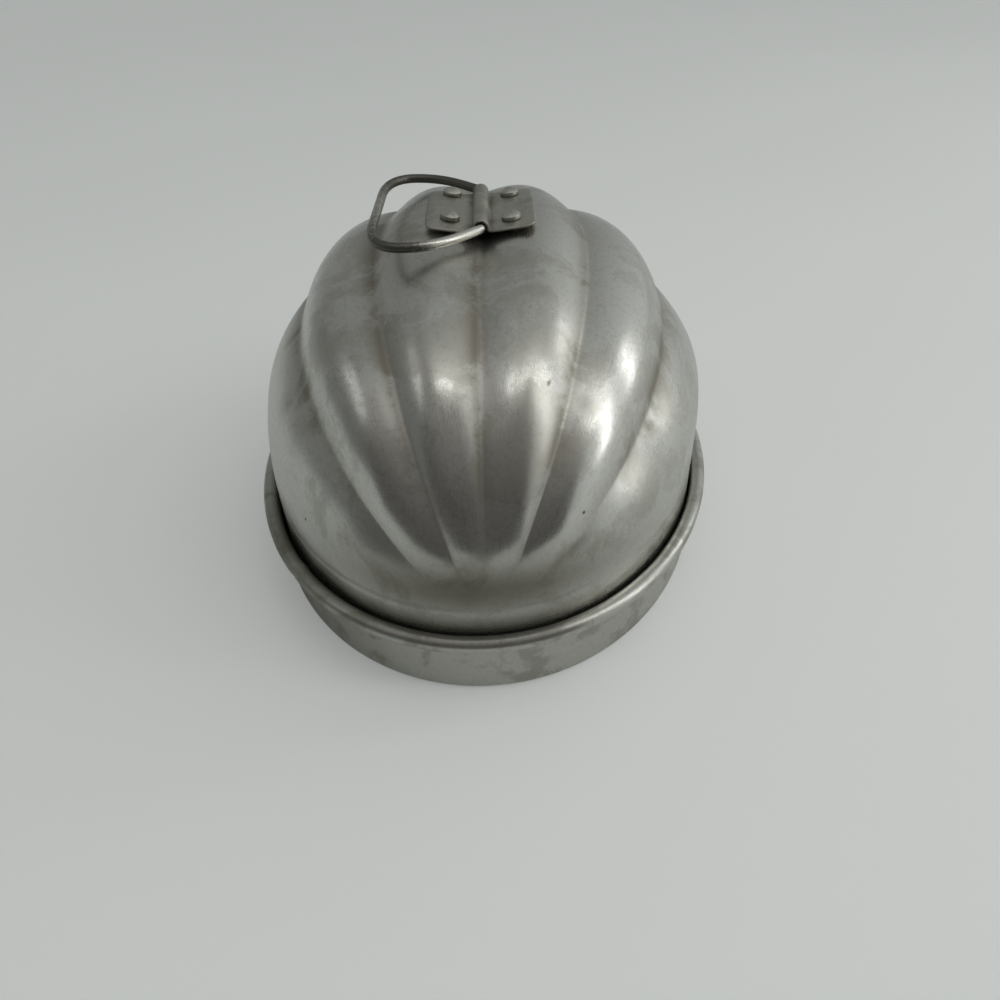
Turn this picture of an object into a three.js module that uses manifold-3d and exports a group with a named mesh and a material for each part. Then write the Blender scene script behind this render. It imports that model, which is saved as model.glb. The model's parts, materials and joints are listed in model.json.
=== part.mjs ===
// Melon mould: a ribbed aluminium pudding mould that stands open side down in its shallow lid.
// Millimetres, +Z up, the melon's ribs run along Y. The origin is the centre of the lid's underside.
import * as THREE from "three";
import { ParametricGeometry } from "three/addons/geometries/ParametricGeometry.js";
import { mergeVertices } from "three/addons/utils/BufferGeometryUtils.js";
import Module from "manifold-3d";

// Fits
const seatGap = 0.3;
const cutOverrun = 2;

// Lid: an oval tray with its rim rolled outwards, in which the mould's edge stands just inside the corner
const lidHeight = 22.5;
const lidSheet = 1;
const lidDraft = 0.35;
const lidInnerRadius = 0.5;
const edgeClearance = 0.1;
const rimHollowRadius = 1.1;
const rimSlit = 0.4;

// Mould: an upright oval band that runs up into the melon. The full melon would reach past the band.
const bandHalfWidth = 71;
const bandHalfLength = 92;
const mouldSheet = 1;
const melonAxisHeight = 21.9;
const melonSideReach = 2.35;
const melonEndReach = 3.9;
const melonRise = 79.3;
const melonShift = 1.6;
const fluteDepth = 3.6;
const fluteDegrees = [0, 37.8, 64.2, 88.7, 111.4, 139.2, 180];
const planExponent = 1.86;
const profileExponent = 2.12;
const sectionExponent = 2.19;
const crestExponent = 1.1;
const bandBlendShare = 0.05;

// Saddle: a square plate pressed to the two top ribs, with a barrel raised across its middle
const saddleSheet = 0.7;
const saddleOffset = -2.3;
const saddleHalfLength = 15.7;
const saddleHalfWidth = 15.4;
const saddleCornerRadius = 3.4;
const barrelClearance = 0.3;
const barrelFilletRadius = 0.4;
const barrelSink = 0.5;
const wingRise = 1.9;
const wingCurve = 1;
const saddleTiltDegrees = 2.4;

// Rivets: the margins run from the plate's edges to the rivets' axes, the lips from the holes' edges outwards
const rivetSideMargin = 6.75;
const rivetFrontMargin = 6.6;
const rivetRearMargin = 4.4;
const rivetShankRadius = 1.5;
const rivetHeadLip = 1;
const rivetHeadEdge = 0.9;
const rivetHeadCrown = 1;
const rivetTailLip = 0.5;
const rivetTailHeight = 1.1;

// Bail: one length of wire whose two ends meet inside the barrel
const wireRadius = 1.3;
const wireEndGap = 1;
const mouthClearance = 0.4;
const bailReach = 29.7;
const bailFlare = 10.8;
const bailCornerRun = 9.2;
const bailCornerDrop = 16.4;
const bailBendRun = 1.6;
const bailBendRise = 2;
const bailRestDegrees = 2;
const legPullShare = 0.34;
const shoulderPullShare = 0.39;
const cornerPullShare = 0.7;
const barPullShare = 0.61;

// Facets
const lidSides = 64;
const cornerSteps = 3;
const rollSteps = 10;
const rollInnerSteps = 6;
const mouldStations = 42;
const stepsPerRib = 6;
const wingSteps = 6;
const arcSteps = 10;
const rivetSides = 16;
const domeSteps = 4;
const wireSteps = 90;
const wireSides = 10;

const aluminium = { color: 0xa9aaa6, metalness: 1, roughness: 0.38 };
const lidAluminium = { color: 0xadaea9, metalness: 1, roughness: 0.45 };
const dullAluminium = { color: 0x969791, metalness: 1, roughness: 0.5 };
const steelWire = { color: 0x6e6f6d, metalness: 1, roughness: 0.35 };

const wasm = await Module();
wasm.setup();

// Keeps only the position, joins equal corners and drops the triangles that a pole or seam has folded flat.
function closed(geometry) {
  const bare = new THREE.BufferGeometry();
  bare.setAttribute("position", geometry.getAttribute("position"));
  bare.setIndex(geometry.index);
  const merged = mergeVertices(bare);
  const kept = [];
  for (let i = 0; i < merged.index.count; i += 3) {
    const [a, b, c] = [0, 1, 2].map((corner) => merged.index.getX(i + corner));
    if (a !== b && b !== c && c !== a) kept.push(a, b, c);
  }
  merged.setIndex(kept);
  return merged;
}

function solid(geometry) {
  const merged = closed(geometry);
  return new wasm.Manifold(
    new wasm.Mesh({
      numProp: 3,
      vertProperties: new Float32Array(merged.getAttribute("position").array),
      triVerts: new Uint32Array(merged.index.array),
    }),
  );
}

function geometryOf(manifold) {
  const { vertProperties, triVerts } = manifold.getMesh();
  const geometry = new THREE.BufferGeometry();
  geometry.setAttribute("position", new THREE.BufferAttribute(vertProperties, 3));
  geometry.setIndex(new THREE.BufferAttribute(triVerts, 1));
  return geometry;
}

function piece(name, geometry, finish) {
  geometry.computeVertexNormals();
  const mesh = new THREE.Mesh(geometry, new THREE.MeshStandardMaterial({ ...finish, flatShading: true }));
  mesh.name = name;
  return mesh;
}

// Points of an arc about (x, y) from one angle to another, both in degrees, ends included.
function arcPoints(x, y, radius, from, to, steps) {
  return Array.from({ length: steps + 1 }, (_, i) => {
    const angle = THREE.MathUtils.degToRad(from + ((to - from) * i) / steps);
    return new THREE.Vector2(x + radius * Math.cos(angle), y + radius * Math.sin(angle));
  });
}

// Lid
// The section runs from the middle of the underside round the rolled rim and back to the middle of the floor.
// Its x is the distance outside the oval on which the wall's outer face meets the floor.
function lidSection() {
  const rimRadius = rimHollowRadius + lidSheet;
  const rimX = lidDraft + rimHollowRadius;
  const rimZ = lidHeight - rimRadius;
  const end = -THREE.MathUtils.radToDeg(Math.acos((rimSlit - rimHollowRadius) / rimRadius));
  const outerRadius = lidInnerRadius + lidSheet;
  return [
    ...arcPoints(-outerRadius, outerRadius, outerRadius, -90, 0, cornerSteps),
    ...arcPoints(rimX, rimZ, rimHollowRadius, 180, end, rollInnerSteps),
    ...arcPoints(rimX, rimZ, rimRadius, end, 180, rollSteps),
    ...arcPoints(-outerRadius, outerRadius, lidInnerRadius, 0, -90, cornerSteps),
  ];
}

function makeLid() {
  const section = lidSection();
  const beyondBand = edgeClearance + lidInnerRadius + lidSheet;
  const halfWidth = bandHalfWidth + beyondBand;
  const halfLength = bandHalfLength + beyondBand;
  const rows = section.length + 1;
  const surface = (u, v, target) => {
    const angle = 2 * Math.PI * (Math.round(u * lidSides) % lidSides) / lidSides;
    const row = Math.round(v * rows);
    const onAxis = row === 0 || row === rows;
    const { x: out, y: height } = section[Math.min(Math.max(row - 1, 0), section.length - 1)];
    if (onAxis) {
      target.set(0, 0, height);
      return;
    }
    const normal = new THREE.Vector2(Math.cos(angle) / halfWidth, Math.sin(angle) / halfLength).normalize();
    target.set(
      halfWidth * Math.cos(angle) + out * normal.x,
      halfLength * Math.sin(angle) + out * normal.y,
      height,
    );
  };
  return closed(new ParametricGeometry(surface, lidSides, rows));
}

// Mould
const melonHalfWidth = bandHalfWidth + melonSideReach;
const melonHalfLength = bandHalfLength + melonEndReach;
const topValley = (fluteDegrees.length - 1) / 2;

const superRadius = (share, exponent) => (1 - Math.abs(share) ** exponent) ** (1 / exponent);
const signedPower = (value, power) => Math.sign(value) * Math.abs(value) ** power;

// How deep the flute is at an angle round the melon's axis, from 0 on a crest to 1 in a valley.
// The outermost ribs have no valley of their own below them: they run straight into the band.
function fluteShare(degrees) {
  const last = fluteDegrees.length - 2;
  const rib = Math.min(Math.max(fluteDegrees.findLastIndex((edge) => edge <= degrees), 0), last);
  const across = (degrees - fluteDegrees[rib]) / (fluteDegrees[rib + 1] - fluteDegrees[rib]);
  const outside = (rib === 0 && across < 0.5) || (rib === last && across > 0.5);
  return outside ? 0 : 1 - Math.sin(Math.PI * across) ** crestExponent;
}

// The lesser of the two, rounded where they come within bandBlendShare of each other.
function blendedLesser(share, limit) {
  const near = Math.max(bandBlendShare - Math.abs(share - limit), 0) / bandBlendShare;
  return Math.min(share, limit) - (near * near * bandBlendShare) / 4;
}

// A point of the mould's skin. The station turns from one pole of the melon (-90) to the other (90), and the
// degrees turn round the melon's axis from +X over the top. Points outside the oval band are drawn in to it.
function skinPoint(station, degrees, inset) {
  const along = Math.sin(THREE.MathUtils.degToRad(station));
  const angle = THREE.MathUtils.degToRad(degrees);
  const swell = 1 - (fluteDepth / melonRise) * fluteShare(degrees);
  const power = 2 / sectionExponent;
  const radiusX = (melonHalfWidth - inset) * superRadius(along, planExponent) * swell;
  const radiusZ = (melonRise - inset) * superRadius(along, profileExponent) * swell;
  const x = melonShift + radiusX * signedPower(Math.cos(angle), power);
  const y = (melonHalfLength - inset) * along;
  const z = melonAxisHeight + radiusZ * signedPower(Math.max(Math.sin(angle), 0), power);
  const share = Math.hypot(x / (bandHalfWidth - inset), y / (bandHalfLength - inset));
  const draw = share > 0 ? blendedLesser(share, 1) / share : 1;
  return new THREE.Vector3(x * draw, y * draw, z);
}

// The point of the band's lower edge under one end of the arch.
function edgePoint(station, degrees, inset) {
  const { x, y } = skinPoint(station, degrees, inset);
  const share = Math.hypot(x / (bandHalfWidth - inset), y / (bandHalfLength - inset));
  return new THREE.Vector3(x / share, y / share, 0);
}

// Angles across the ribs from +X to -X, with a row on every valley.
function ribAngles() {
  const angles = [0];
  for (let rib = 0; rib + 1 < fluteDegrees.length; rib += 1) {
    for (let step = 1; step <= stepsPerRib; step += 1) {
      const across = step / stepsPerRib;
      angles.push(fluteDegrees[rib] + across * (fluteDegrees[rib + 1] - fluteDegrees[rib]));
    }
  }
  return angles;
}

// One closed loop across the mould at each station: the inner arch from edge to edge, then the outer arch.
function mouldSkin() {
  const angles = ribAngles();
  const loop = [
    (station) => edgePoint(station, 0, mouldSheet),
    ...angles.map((degrees) => (station) => skinPoint(station, degrees, mouldSheet)),
    (station) => edgePoint(station, 180, mouldSheet),
    (station) => edgePoint(station, 180, 0),
    ...angles.reverse().map((degrees) => (station) => skinPoint(station, degrees, 0)),
    (station) => edgePoint(station, 0, 0),
  ];
  const surface = (u, v, target) => {
    const station = 180 * (Math.round(v * mouldStations) / mouldStations) - 90;
    target.copy(loop[Math.round(u * loop.length) % loop.length](station));
  };
  return new ParametricGeometry(surface, loop.length, mouldStations);
}

// Height of the skin above a point near the top of the mould, found by halving the angle.
function skinHeight(x, y, inset) {
  const station = THREE.MathUtils.radToDeg(Math.asin(y / (melonHalfLength - inset)));
  let [low, high] = [0, 180];
  for (let halving = 0; halving < 40; halving += 1) {
    const middle = (low + high) / 2;
    if (skinPoint(station, middle, inset).x > x) low = middle;
    else high = middle;
  }
  return skinPoint(station, low, inset).z;
}

// Saddle
// Its own frame has the bail's pin along Y through the origin. The two wings rise away from the barrel
// along a falling slope, so that they lie on the shoulders of the ribs. It tilts to the lower rib on the right.
const barrelInner = wireRadius + barrelClearance;
const barrelOuter = barrelInner + saddleSheet;
const wingSpan = saddleHalfWidth - barrelInner;
const valleyX = skinPoint(0, fluteDegrees[topValley], 0).x;

function wingLift(out) {
  const share = (out - barrelInner) / wingSpan;
  return (wingRise + wingCurve) * share - wingCurve * share * share;
}

function wingSlope(out) {
  const share = (out - barrelInner) / wingSpan;
  return (wingRise + wingCurve - 2 * wingCurve * share) / wingSpan;
}

const pinAboveFoot = barrelInner + saddleSheet / 2 - barrelSink;
const saddleTilt = new THREE.Matrix4().makeRotationY(THREE.MathUtils.degToRad(saddleTiltDegrees));

// The lowest height of the pin at which both wings of the tilted saddle clear the skin by the seat gap all
// over. The skin is felt for where it is highest along the plate, at the point nearest the melon's middle.
function lowestPin() {
  const y = THREE.MathUtils.clamp(0, saddleOffset - saddleHalfLength, saddleOffset + saddleHalfLength);
  let height = 0;
  for (let i = 0; i <= wingSteps; i += 1) {
    for (const side of [-1, 1]) {
      const out = barrelInner + (wingSpan * i) / wingSteps;
      const under = new THREE.Vector3(side * out, 0, wingLift(out) - pinAboveFoot).applyMatrix4(saddleTilt);
      height = Math.max(height, skinHeight(valleyX + under.x, y, 0) + seatGap - under.z);
    }
  }
  return height;
}

const saddleInMould = saddleTilt.clone().setPosition(valleyX, saddleOffset, lowestPin());

function saddleProfile() {
  const wing = (side, top) =>
    Array.from({ length: wingSteps + 1 }, (_, i) => {
      const start = top ? barrelOuter + barrelFilletRadius : barrelInner;
      const out = start + ((saddleHalfWidth - start) * i) / wingSteps;
      return new THREE.Vector2(side * out, wingLift(out) - pinAboveFoot + (top ? saddleSheet : 0));
    });
  const rightTop = wing(1, true);
  const filletX = barrelOuter + barrelFilletRadius;
  const filletY = rightTop[0].y + barrelFilletRadius;
  const rightFillet = arcPoints(filletX, filletY, barrelFilletRadius, -90, -180, cornerSteps);
  const leftFillet = arcPoints(-filletX, filletY, barrelFilletRadius, 0, -90, cornerSteps);
  return new THREE.Shape([
    ...wing(-1, false).reverse(),
    ...arcPoints(0, 0, barrelInner, 180, 0, arcSteps),
    ...wing(1, false),
    ...rightTop.slice(1).reverse(),
    ...rightFillet,
    ...arcPoints(0, 0, barrelOuter, 0, 180, arcSteps),
    ...leftFillet,
    ...wing(-1, true).slice(1),
  ]);
}

// A square with round corners, seen from above, as a tall block.
function saddleOutline() {
  const [w, l, r] = [saddleHalfWidth, saddleHalfLength, saddleCornerRadius];
  const outline = new THREE.Shape([
    ...arcPoints(w - r, l - r, r, 0, 90, cornerSteps),
    ...arcPoints(r - w, l - r, r, 90, 180, cornerSteps),
    ...arcPoints(r - w, r - l, r, 180, 270, cornerSteps),
    ...arcPoints(w - r, r - l, r, 270, 360, cornerSteps),
  ]);
  const depth = 2 * (barrelOuter + wingRise + cutOverrun);
  return new THREE.ExtrudeGeometry(outline, { depth, bevelEnabled: false }).translate(0, 0, -depth / 2);
}

// Rivets
// Each stands square on its wing. Its place is where the head's underside meets the axis.
const rivetHoleRadius = rivetShankRadius + seatGap;
const rivetRows = { front: rivetFrontMargin - saddleHalfLength, rear: saddleHalfLength - rivetRearMargin };
const rivetFlanks = { left: -1, right: 1 };
const rivetSites = Object.entries(rivetRows).flatMap(([row, y]) =>
  Object.entries(rivetFlanks).map(([flank, side]) => {
    const out = saddleHalfWidth - rivetSideMargin;
    const slope = Math.atan(wingSlope(out));
    const x = side * (out - (saddleSheet + seatGap) * Math.sin(slope));
    const z = wingLift(out) - pinAboveFoot + (saddleSheet + seatGap) * Math.cos(slope);
    return { name: `rivet_${row}_${flank}`, tilt: -side * slope, place: new THREE.Vector3(x, y, z) };
  }),
);

function rivetTurn(site) {
  return new THREE.Matrix4().makeRotationY(site.tilt).setPosition(site.place);
}

// Length from under the head to the tail, which closes below the mould's inner skin. The skin is felt for
// round the tail's edge, at the depth where the rivet's axis meets it.
function rivetGrip(site) {
  const seat = site.place.clone().applyMatrix4(saddleInMould);
  const depth = seat.z - skinHeight(seat.x, seat.y, mouldSheet);
  const turn = saddleInMould.clone().multiply(rivetTurn(site));
  const tailRadius = rivetHoleRadius + rivetTailLip;
  const excess = [-1, 0, 1].flatMap((i) =>
    [-1, 0, 1].map((j) => {
      const edge = new THREE.Vector3(i * tailRadius, j * tailRadius, -depth).applyMatrix4(turn);
      return edge.z - skinHeight(edge.x, edge.y, mouldSheet);
    }),
  );
  return depth + Math.max(...excess) + seatGap;
}

function makeRivet(site) {
  const grip = rivetGrip(site);
  const headRadius = rivetHoleRadius + rivetHeadLip;
  const tailRadius = rivetHoleRadius + rivetTailLip;
  const domeRadius = (headRadius ** 2 + rivetHeadCrown ** 2) / (2 * rivetHeadCrown);
  const domeCentre = rivetHeadEdge + rivetHeadCrown - domeRadius;
  const edgeDegrees = THREE.MathUtils.radToDeg(Math.acos(headRadius / domeRadius));
  const profile = [
    new THREE.Vector2(0, -grip - rivetTailHeight),
    new THREE.Vector2(tailRadius, -grip - rivetTailHeight),
    new THREE.Vector2(tailRadius, -grip),
    new THREE.Vector2(rivetShankRadius, -grip),
    new THREE.Vector2(rivetShankRadius, 0),
    new THREE.Vector2(headRadius, 0),
    ...arcPoints(0, domeCentre, domeRadius, edgeDegrees, 90, domeSteps),
  ];
  profile[profile.length - 1].x = 0;
  const upright = new THREE.LatheGeometry(profile, rivetSides).rotateX(Math.PI / 2);
  return closed(upright).applyMatrix4(rivetTurn(site));
}

// A cutter through plate and skin round a rivet's shank.
function rivetHole(site) {
  const reach = rivetGrip(site) + cutOverrun;
  const cutter = new THREE.CylinderGeometry(rivetHoleRadius, rivetHoleRadius, 2 * reach, rivetSides);
  return solid(cutter.rotateX(Math.PI / 2).applyMatrix4(rivetTurn(site)));
}

function makeSaddle() {
  const depth = 2 * saddleHalfLength;
  const strip = new THREE.ExtrudeGeometry(saddleProfile(), { depth, bevelEnabled: false });
  strip.translate(0, 0, -depth / 2).rotateX(Math.PI / 2);
  const plate = solid(strip).intersect(solid(saddleOutline()));
  return geometryOf(rivetSites.reduce((cut, site) => cut.subtract(rivetHole(site)), plate));
}

function makeMouldShell() {
  const holes = rivetSites.map((site) => rivetHole(site).transform(saddleInMould.elements));
  return geometryOf(holes.reduce((cut, hole) => cut.subtract(hole), solid(mouldSkin())));
}

// Bail
// Half of the wire's centre line, from its end inside the barrel to the middle of the outer bar. It lies
// flat, reaching towards -X, with side 1 or -1 along Y.
function bailHalf(side) {
  const at = (reach, across) => new THREE.Vector3(-reach, side * across, 0);
  const pinHalf = saddleHalfLength + mouthClearance;
  const bend = [bailBendRun, pinHalf + bailBendRise];
  const halfWidth = bend[1] + bailFlare;
  const shoulder = bailReach - bailCornerRun;
  const barHalf = halfWidth - bailCornerDrop;
  const legLength = Math.hypot(shoulder - bend[0], halfWidth - bend[1]);
  const pull = (legPullShare * legLength) / Math.SQRT2;
  return [
    new THREE.LineCurve3(at(0, wireEndGap / 2), at(0, pinHalf)),
    new THREE.QuadraticBezierCurve3(at(0, pinHalf), at(0, bend[1] - bend[0]), at(...bend)),
    new THREE.CubicBezierCurve3(
      at(...bend),
      at(bend[0] + pull, bend[1] + pull),
      at(shoulder - shoulderPullShare * legLength, halfWidth),
      at(shoulder, halfWidth),
    ),
    new THREE.CubicBezierCurve3(
      at(shoulder, halfWidth),
      at(shoulder + cornerPullShare * bailCornerRun, halfWidth),
      at(bailReach, barHalf + barPullShare * bailCornerDrop),
      at(bailReach, barHalf),
    ),
    new THREE.LineCurve3(at(bailReach, barHalf), at(bailReach, 0)),
  ];
}

function reversed(curve) {
  const ends = ["v0", "v1", "v2", "v3"].filter((key) => curve[key]).map((key) => curve[key]);
  return new curve.constructor(...ends.reverse());
}

// The shape's y axis lies in the plane of the bail, so the wire's section is a plain circle.
function makeBail() {
  const path = new THREE.CurvePath();
  path.curves = [...bailHalf(1), ...bailHalf(-1).reverse().map(reversed)];
  const section = new THREE.Shape().absarc(0, 0, wireRadius, 0, 2 * Math.PI);
  const options = { steps: wireSteps, extrudePath: path, curveSegments: wireSides / 2 };
  return closed(new THREE.ExtrudeGeometry(section, options));
}

// Assembly
const mould = new THREE.Group();
mould.position.z = lidSheet + seatGap;
mould.add(piece("mould_shell", makeMouldShell(), aluminium));

const handle = new THREE.Group();
handle.applyMatrix4(saddleInMould);
handle.add(piece("saddle_plate", makeSaddle(), dullAluminium));
for (const site of rivetSites) {
  handle.add(piece(site.name, makeRivet(site), dullAluminium));
}
const bail = piece("bail", makeBail(), steelWire);
bail.rotation.y = THREE.MathUtils.degToRad(bailRestDegrees - saddleTiltDegrees);
handle.add(bail);
mould.add(handle);

const melonMould = new THREE.Group();
melonMould.add(piece("lid", makeLid(), lidAluminium), mould);

export default melonMould;
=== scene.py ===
import json
import math

import bmesh
import bpy
import numpy as np
from mathutils import Matrix, Vector


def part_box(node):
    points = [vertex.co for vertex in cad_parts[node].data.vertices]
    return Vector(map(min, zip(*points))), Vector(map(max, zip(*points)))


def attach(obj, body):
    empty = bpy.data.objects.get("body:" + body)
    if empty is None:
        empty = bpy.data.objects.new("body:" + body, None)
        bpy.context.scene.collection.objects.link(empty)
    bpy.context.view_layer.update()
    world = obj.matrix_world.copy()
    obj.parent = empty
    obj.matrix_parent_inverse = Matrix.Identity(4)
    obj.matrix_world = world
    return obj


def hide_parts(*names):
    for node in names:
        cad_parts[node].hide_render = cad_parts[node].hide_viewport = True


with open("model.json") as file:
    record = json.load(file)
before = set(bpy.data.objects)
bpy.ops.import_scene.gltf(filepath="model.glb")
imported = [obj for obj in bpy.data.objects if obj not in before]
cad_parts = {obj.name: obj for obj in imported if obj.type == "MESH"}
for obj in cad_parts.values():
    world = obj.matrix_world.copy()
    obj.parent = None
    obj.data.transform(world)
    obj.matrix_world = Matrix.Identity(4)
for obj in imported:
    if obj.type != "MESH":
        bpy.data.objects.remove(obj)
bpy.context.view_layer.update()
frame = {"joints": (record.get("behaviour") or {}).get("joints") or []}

# An aluminium melon mould that stands in its lid. Sizes are in millimetres and places in the frame's axes:
# +Z up, the ribs along Y. Meshes are turned to metres when they are made.
MM = 0.001


def node_box(name):
    """Lowest and highest corner of a CAD node, in millimetres."""
    low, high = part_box(name)
    return np.array(low) / MM, np.array(high) / MM


# Camera: a phone's main lens held in front of the mould, looking down at it
CAMERA_PLACE = (8.651, -222.251, 175.238)
CAMERA_DOWN = 39.721
CAMERA_YAW = -0.994
CAMERA_ROLL = -3.066
LENS_MM = 27.05
SENSOR_MM = 36
NEAREST_SEEN = 10


def add_camera():
    """The yaw and the downward angle give the forward direction, and the roll turns right and up about it."""
    down, yaw, roll = (math.radians(angle) for angle in (CAMERA_DOWN, CAMERA_YAW, CAMERA_ROLL))
    forward = Vector((math.sin(yaw) * math.cos(down), math.cos(yaw) * math.cos(down), -math.sin(down)))
    level = Vector((math.cos(yaw), -math.sin(yaw), 0))
    upright = level.cross(forward)
    right = math.cos(roll) * level + math.sin(roll) * upright
    up = math.cos(roll) * upright - math.sin(roll) * level
    data = bpy.data.cameras.new("camera")
    data.sensor_fit = "HORIZONTAL"
    data.sensor_width = SENSOR_MM
    data.lens = LENS_MM
    data.clip_start = NEAREST_SEEN * MM
    camera = bpy.data.objects.new("camera", data)
    turn = Matrix((right, up, -forward)).transposed().to_4x4()
    camera.matrix_world = Matrix.Translation(Vector(CAMERA_PLACE) * MM) @ turn
    bpy.context.scene.collection.objects.link(camera)
    bpy.context.scene.camera = camera


add_camera()

# Sizes that the frame doesn't give
SHEET = 1.0
LID_DRAFT = 0.35
LID_INNER_RADIUS = 0.5
RIM_HOLLOW_RADIUS = 1.1
RIM_SWELL = 0.2
RIM_SLIT = 0.4
BAND_HALF_WIDTH = 71.0
BAND_HALF_LENGTH = 92.0
MELON_AXIS_HEIGHT = 21.9
MELON_SIDE_REACH = 2.35
MELON_END_REACH = 3.9
MELON_RISE = 79.3
MELON_SHIFT = 1.6
FLUTE_DEPTH = 3.6
FLUTE_DEGREES = np.array([0, 37.8, 64.2, 88.7, 111.4, 139.2, 180])
PLAN_EXPONENT = 1.86
PROFILE_EXPONENT = 2.12
SECTION_EXPONENT = 2.19
CREST_EXPONENT = 1.1
BAND_BLEND_SHARE = 0.02
SKIN_TRIM = 0.06

SADDLE_SHEET = 0.7
SADDLE_HALF_LENGTH = 15.7
SADDLE_HALF_WIDTH = 15.4
SADDLE_CORNER_RADIUS = 3.4
SADDLE_TILT_DEGREES = 2.4
BARREL_CLEARANCE = 0.3
BARREL_FILLET_RADIUS = 0.75
BARREL_SINK = 0.5
WING_RISE = 1.9
WING_CURVE = 1.0

WIRE_RADIUS = 1.3
WIRE_END_GAP = 1.0
MOUTH_CLEARANCE = 0.4
BAIL_REACH = 29.7
BAIL_FLARE = 10.8
BAIL_CORNER_RUN = 9.2
BAIL_CORNER_DROP = 16.4
BAIL_BEND_RUN = 1.6
BAIL_BEND_RISE = 2.0
BAIL_REST_DEGREES = 2.0
LEG_PULL_SHARE = 0.34
SHOULDER_PULL_SHARE = 0.39
CORNER_PULL_SHARE = 0.7
BAR_PULL_SHARE = 0.61

RIVET_SHANK_RADIUS = 1.5
RIVET_SIDE_MARGIN = 6.75
RIVET_HEAD_GAP = 0.3
RIVET_HEAD_RADIUS = 2.78
RIVET_HEAD_EDGE = 0.85
RIVET_HEAD_CROWN = 1.0
RIVET_TAIL_RADIUS = 2.3
RIVET_TAIL_HEIGHT = 1.1

shell_low = node_box("mould_shell")[0]
lid_high = node_box("lid")[1]
MOULD_EDGE_HEIGHT = shell_low[2]
LID_HEIGHT = lid_high[2]
swing = next(joint for joint in frame["joints"] if joint["name"] == "bail_swing")
PIN = np.array(swing["pos_m"]) / MM


# Meshes: what no length or share is divided by, and how near two points are, in metres, that are made one
NEARLY_ZERO = 1e-12
JOIN_DISTANCE = 1e-7


def unit(vectors):
    """Each vector divided by its length."""
    return vectors / np.maximum(np.linalg.norm(vectors, axis=-1, keepdims=True), NEARLY_ZERO)


def grid_quads(rows, columns, closed_rows=False, closed_columns=False, first=0):
    """Quads between neighbouring points of a grid, numbered row by row. A closed side joins its last point to
    its first."""
    r = np.arange(rows if closed_rows else rows - 1)[:, None]
    c = np.arange(columns if closed_columns else columns - 1)[None, :]
    r_next = (r + 1) % rows
    c_next = (c + 1) % columns
    corners = [r * columns + c, r * columns + c_next, r_next * columns + c_next, r_next * columns + c]
    return first + np.stack(np.broadcast_arrays(*corners), -1).reshape(-1, 4)


def add_piece(name, points, quads, body, nodes, material, grain=None, marks=None, crease=40):
    """A mesh from points in millimetres. grain gives each point a place on the sheet, in metres, for patterns
    that follow the surface, and marks are further values at each point. Equal points are joined, which closes
    seams and poles, and edges sharper than the crease stay sharp."""
    mesh = bpy.data.meshes.new(name)
    mesh.from_pydata((points * MM).tolist(), [], quads.tolist())
    for title, values in (marks or {}).items():
        mesh.attributes.new(title, "FLOAT", "POINT").data.foreach_set("value", values.astype(np.float32))
    if grain is not None:
        layer = mesh.uv_layers.new(name="grain")
        layer.data.foreach_set("uv", grain[quads.reshape(-1)].astype(np.float32).reshape(-1))
    work = bmesh.new()
    work.from_mesh(mesh)
    bmesh.ops.remove_doubles(work, verts=work.verts, dist=JOIN_DISTANCE)
    bmesh.ops.dissolve_degenerate(work, edges=work.edges, dist=JOIN_DISTANCE)
    bmesh.ops.recalc_face_normals(work, faces=work.faces)
    work.to_mesh(mesh)
    work.free()
    mesh.shade_smooth()
    mesh.set_sharp_from_angle(angle=math.radians(crease))
    mesh.materials.append(material)
    piece = bpy.data.objects.new(name, mesh)
    bpy.context.scene.collection.objects.link(piece)
    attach(piece, body)
    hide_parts(*nodes)
    return piece


def arc(x, y, radius, start, end, steps):
    """Points of an arc about (x, y) between two angles in degrees, ends included."""
    angle = np.radians(np.linspace(start, end, steps + 1))
    return np.stack([x + radius * np.cos(angle), y + radius * np.sin(angle)], -1)


def line(start, end, steps, both_ends=False):
    """Points of a straight line, without its ends unless both are asked for."""
    share = np.linspace(0, 1, steps + 1)[:, None]
    points = np.array(start) + share * (np.array(end) - np.array(start))
    return points if both_ends else points[1:-1]


def soft_spots(points, spots):
    """The strongest of the spots at each point, each of which fades out as a bell does."""
    strongest = np.zeros(points.shape[:-1])
    for place, width, height, strength in spots:
        from_spot = (points - np.array(place)) / np.array([width, width, height])
        strongest = np.maximum(strongest, strength * np.exp(-(from_spot ** 2).sum(-1)))
    return strongest


# Materials
def srgb(code):
    """The linear colour, with alpha, of an sRGB hex value."""
    values = [int(code[i : i + 2], 16) / 255 for i in (1, 3, 5)]
    return [v / 12.92 if v <= 0.04045 else ((v + 0.055) / 1.055) ** 2.4 for v in values] + [1]


def per_mm(size):
    """The scale of a pattern whose features are this many millimetres across, on coordinates in metres."""
    return 1 / (size * MM)


def add(tree, kind, inputs=None, **settings):
    """Adds a node. inputs gives a socket, by name or number, a value or another node's output."""
    made = tree.nodes.new(kind)
    for key, value in settings.items():
        setattr(made, key, value)
    for key, value in (inputs or {}).items():
        if isinstance(value, bpy.types.NodeSocket):
            tree.links.new(value, made.inputs[key])
        else:
            made.inputs[key].default_value = value
    return made


def new_material(name):
    """An empty node material, its tree and its output node."""
    material = bpy.data.materials.new(name)
    material.use_nodes = True
    tree = material.node_tree
    tree.nodes.clear()
    return material, tree, add(tree, "ShaderNodeOutputMaterial")


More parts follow.
